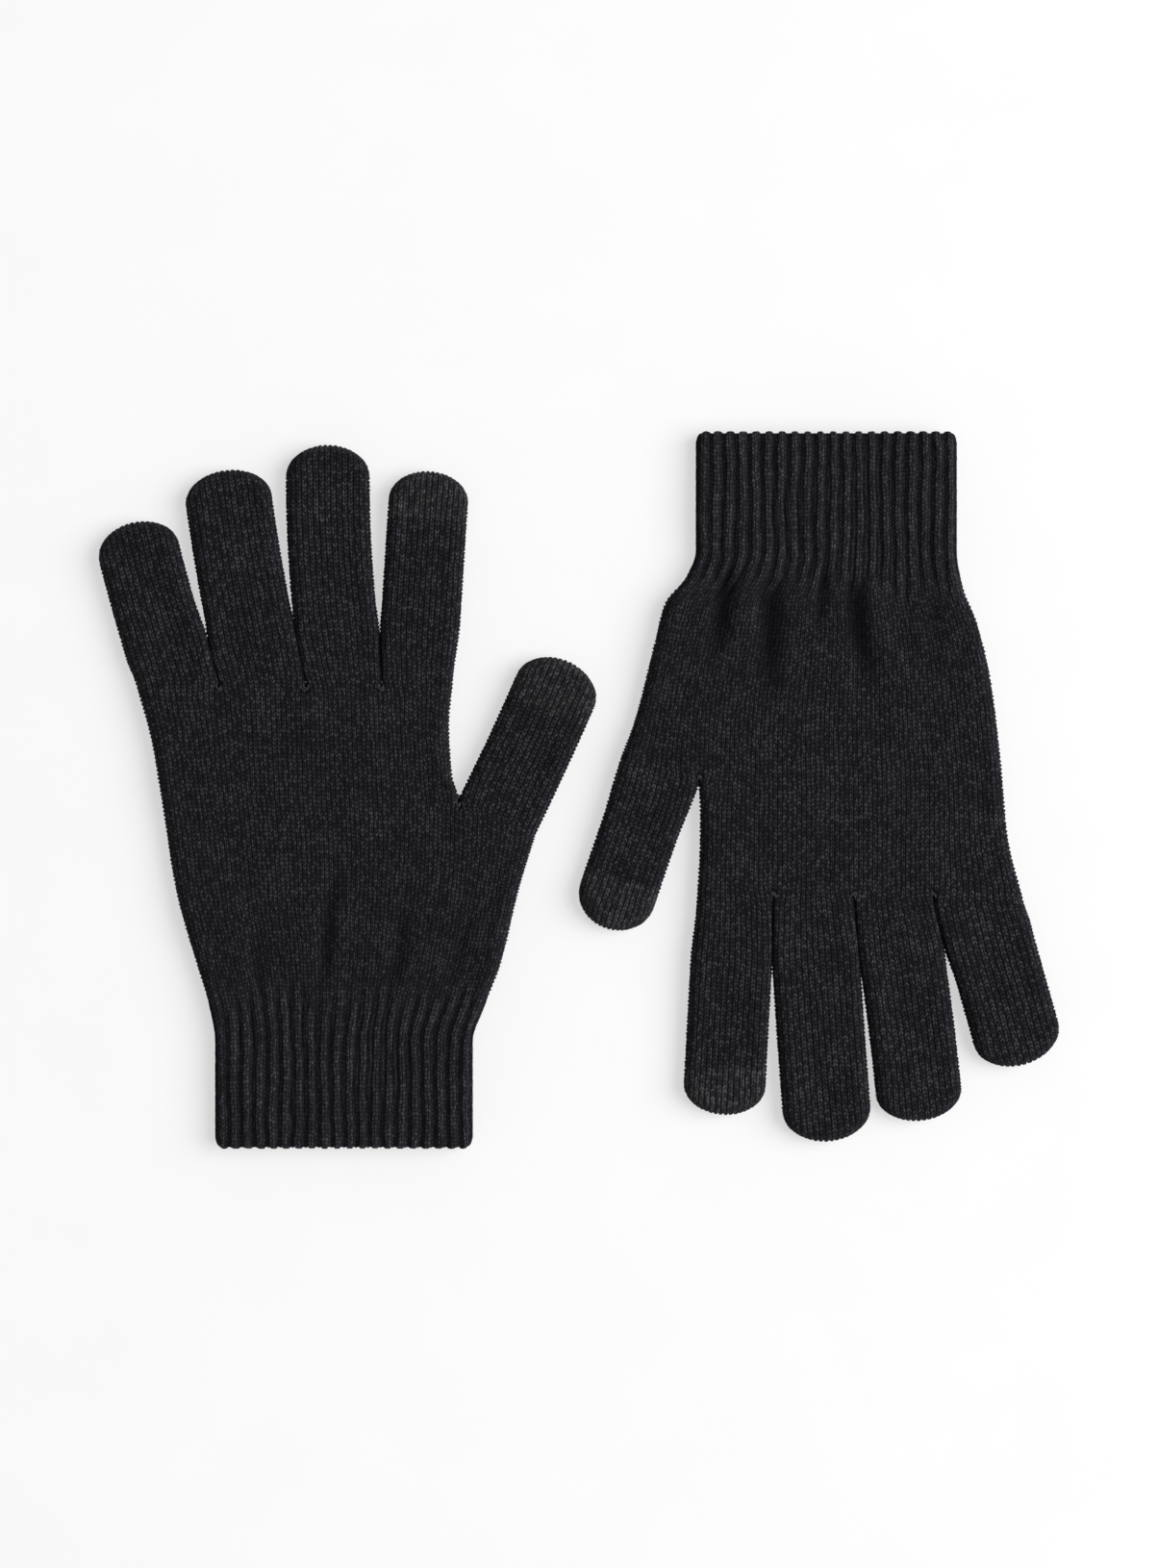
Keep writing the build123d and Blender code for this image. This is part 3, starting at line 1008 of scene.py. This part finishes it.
def shape_rim(lower, glove):
    """Scallops the cuff's rim rib by rib and rounds its two corners."""
    wale, near = lower["wale"], np.abs(lower["along"])
    number = rib_number(wale)
    uneven = 0.9 + 0.25 * np.sin(3.7 * number) * np.sin(1.3 * number)
    bump = np.abs(np.cos(math.pi * wale / WALES_PER_RIB)) ** 0.7 - 0.5
    rim = smooth(1 - near / RIM_REACH)[:, None]
    half = glove.thumb_edge[0][1]
    gap = np.clip((half - np.abs(lower["points"][..., 0])) / CORNER_RADIUS, 0, 1)
    corner = 1 - np.sqrt(1 - (1 - gap) ** 2)
    corner = CORNER_DEPTH * corner * smooth(1 - near / CORNER_REACH)[:, None]
    lower["points"][..., 1] += corner - rim * glove.scallop * bump * uneven


def knit_glove(glove):
    """A glove's finished tubes, with their relief, and the normals of each."""
    grids = build_grids(glove)
    close_tips(grids)
    normals = welded_normals(grids)
    for name, grid in grids.items():
        grid["points"] = displace(grid, glove, normals[name])
    shape_rim(grids["lower"], glove)
    close_tips(grids)
    return grids, welded_normals(grids)


def make_glove(side):
    """All of a glove's visible pieces, on the bodies that carry them."""
    glove = GLOVES[side]
    grids, normals = knit_glove(glove)
    lower = grids["lower"]
    hand, cuff = f"{side}_hand", f"{side}_cuff"
    outer = np.nonzero(lower["inset"] == 0)[0]
    inner_welt = int(np.nonzero((lower["inset"] > 1) & (lower["along"] <= WELT_Y))[0][0])
    outer_welt, outer_cuff = (
        int(outer[np.argmin(np.abs(lower["along"][outer] - y))]) for y in (WELT_Y, RIB_END_Y)
    )
    last = len(lower["points"]) - 1

    def piece(grid, name, low, high, material, closed=False):
        return add_piece(
            side, glove, grids[grid], normals[grid], f"{side}_{name}", low, high, material, closed
        )

    welt = piece("lower", "knit_welt", inner_welt, outer_welt, RIB)
    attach(welt, cuff)
    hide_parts(f"{side}_cuff_welt")

    lining = piece("lower", "knit_cuff_lining", 0, inner_welt, RIB)
    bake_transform(lining)

    rib = piece("lower", "knit_cuff_rib", outer_welt, outer_cuff, RIB)
    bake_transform(rib)
    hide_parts(f"{side}_cuff_rib", f"{side}_cuff_elastic")

    palm = piece("lower", "knit_palm_lower", outer_cuff, last, JERSEY)
    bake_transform(palm)
    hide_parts(f"{side}_palm_lower")

    upper = piece("upper", "knit_palm_upper", 0, len(grids["upper"]["points"]) - 1, JERSEY)
    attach(upper, hand)
    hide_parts(f"{side}_palm_upper")

    for name in NAMES:
        make_digit(side, glove, grids[name], name, piece)
    make_crotch_stitches(side, glove)


def make_digit(side, glove, grid, name, piece):
    """A digit's base and end, and its touch tip where it has one."""
    shape = glove.digits[name]
    knuckle, middle = joints[f"{side}_{name}_knuckle"], joints[f"{side}_{name}_middle"]
    direction = finger_direction(knuckle)
    apart = math.dist(knuckle["pos_m"], middle["pos_m"]) / MM
    last = len(grid["points"]) - 1
    root = place(side, glove, np.array([*grid["root"], MID_Z]))
    behind = np.dot(np.array(knuckle["pos_m"]) - root, direction) / MM
    cut = row_at(grid, behind + apart / 2)
    tip = row_at(grid, shape.length - shape.touch) if shape.touch else last

    lower = piece(name, f"knit_{name}_base", 0, cut, JERSEY)
    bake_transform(lower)
    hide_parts(f"{side}_{name}_base")

    upper = piece(name, f"knit_{name}_end", cut, tip, JERSEY, closed=not shape.touch)
    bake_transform(upper)
    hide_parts(f"{side}_{name}_end")
    if shape.touch:
        touch = piece(name, f"knit_{name}_touch_tip", tip, last, TOUCH, closed=True)
        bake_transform(touch)
        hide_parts(f"{side}_{name}_touch_tip")


def stitch_line(spot, swing, start, reach):
    """Centre line of one loop of darning yarn through a corner between two digits."""
    x, y, turn = spot
    t = np.linspace(0, 2 * math.pi, 49)
    across = STITCH_ACROSS * np.sin(t) * (1 + 0.3 * np.cos(t))
    across = across + swing * (1 - np.cos(t)) * 0.5
    along = start - reach * (0.5 - 0.5 * np.cos(t))
    height = MID_Z + STITCH_TOP * (0.55 + 0.45 * np.sin(t / 2) ** 2)
    line = np.stack([
        x + across * math.cos(turn) + along * math.sin(turn),
        y - across * math.sin(turn) + along * math.cos(turn),
        height + 0.15 * np.sin(3 * t),
    ], axis=1)
    return line[:-1]


def make_crotch_stitches(side, glove):
    """Two short loops of darning yarn close each corner between the digits."""
    spots = [(x, glove.crotch_y, 0.0) for x in glove.crotch_x[1:4]]
    lean = math.radians(sum(glove.digits["thumb"].leans) / 4)
    spots.append((*glove.thumb_crotch, lean))
    vertices, faces, offset = [], [], 0
    for number, spot in enumerate(spots):
        for second in range(2):
            swing = 0.5 * math.sin(2.3 * number + 1.7 * second)
            line = stitch_line(spot, swing, 0.8 - 0.9 * second, STITCH_REACH - 0.5 * second)
            points, quad = yarn_tube(line, YARN_RADIUS)
            vertices.append(place(side, glove, points))
            faces.append(quad + offset)
            offset += len(points)
    name = f"{side}_knit_crotch_loops"
    mesh = smooth_mesh(name, np.concatenate(vertices), np.concatenate(faces).tolist(), YARN)
    loops = add_object(name, mesh)
    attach(loops, f"{side}_hand")
    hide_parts(f"{side}_crotch_stitches")


def yarn_tube(line, radius, sides=8):
    """A closed plied tube of points round a closed line, and its faces."""
    ahead = np.roll(line, -1, axis=0) - np.roll(line, 1, axis=0)
    ahead /= np.linalg.norm(ahead, axis=1, keepdims=True)
    first = np.cross(ahead, np.array([0.0, 0.0, 1.0]))
    first /= np.linalg.norm(first, axis=1, keepdims=True)
    second = np.cross(first, ahead)
    angle = np.arange(sides) / sides * 2 * math.pi
    ply = 1 + 0.16 * np.cos(2 * angle[None, :] + 8 * math.pi * np.arange(len(line))[:, None] / 12)
    points = line[:, None, :] + radius * ply[..., None] * (
        first[:, None, :] * np.cos(angle)[None, :, None]
        + second[:, None, :] * np.sin(angle)[None, :, None]
    )
    i, j = np.arange(len(line))[:, None], np.arange(sides)[None, :]
    i2, j2 = (i + 1) % len(line), (j + 1) % sides
    quad = np.stack([i * sides + j, i2 * sides + j, i2 * sides + j2, i * sides + j2], axis=-1)
    return points.reshape(-1, 3), quad.reshape(-1, 4)


# ---------------------------------------------------------------- stage

def make_table():
    """A pale round table whose far edge sweeps up into a wall all round."""
    sweep = np.linspace(0, QUARTER, 13)
    outer = TABLE_RADIUS + SWEEP_RADIUS
    radii = [1.0, 2.0, TABLE_RADIUS, *(TABLE_RADIUS + SWEEP_RADIUS * np.sin(sweep)), outer]
    heights = [0.0, 0.0, 0.0, *(SWEEP_RADIUS * (1 - np.cos(sweep))), WALL_HEIGHT]
    angle = np.arange(TABLE_SIDES) / TABLE_SIDES * 2 * math.pi
    rings = [
        np.stack([r * np.cos(angle), r * np.sin(angle), z + 0 * angle], axis=1)
        for r, z in zip(radii, heights)
    ]
    vertices = np.concatenate([[[0.0, 0.0, 0.0]], *rings])
    faces = [(0, 1 + j, 1 + (j + 1) % TABLE_SIDES) for j in range(TABLE_SIDES)]
    for i in range(len(rings) - 1):
        low, high = 1 + i * TABLE_SIDES, 1 + (i + 1) * TABLE_SIDES
        for j in range(TABLE_SIDES):
            beside = (j + 1) % TABLE_SIDES
            faces.append((low + j, high + j, high + beside, low + beside))
    table = add_object("table", smooth_mesh("table", vertices, faces, table_material()))


def make_world():
    """Even white light from all round."""
    world = bpy.data.worlds.new("studio")
    world.use_nodes = True
    background = world.node_tree.nodes["Background"]
    background.inputs["Color"].default_value = (1, 1, 1, 1)
    background.inputs["Strength"].default_value = SKY_STRENGTH
    bpy.context.scene.world = world


def make_softbox():
    """The round key light at the photograph's right, aimed at the middle of the table."""
    data = bpy.data.lights.new("key_softbox", "AREA")
    data.shape = "DISK"
    data.size = SOFTBOX_SIZE
    data.energy = SOFTBOX_POWER
    light = add_object("key_softbox", data)
    light.location = SOFTBOX_AT
    x, y, z = SOFTBOX_AT
    light.rotation_euler = (
        math.atan2(math.hypot(x, y), z), 0, math.atan2(-y, -x) - math.pi / 2
    )


def make_camera():
    """Looks straight down on the table, framed as the photograph is."""
    view_height = PHOTO_HEIGHT * MM_PER_PIXEL * MM
    data = bpy.data.cameras.new("camera")
    data.sensor_fit = "VERTICAL"
    data.sensor_height = SENSOR_HEIGHT
    data.lens = SENSOR_HEIGHT * CAMERA_DISTANCE / view_height
    data.clip_end = 50.0
    camera = add_object("camera", data)
    camera.location = (0.0, CAMERA_Y, CAMERA_DISTANCE + MID_Z * MM)
    bpy.context.scene.camera = camera


bpy.context.scene.view_settings.view_transform = "Standard"
make_camera()
make_table()
make_world()
make_softbox()
for side in GLOVES:
    make_glove(side)
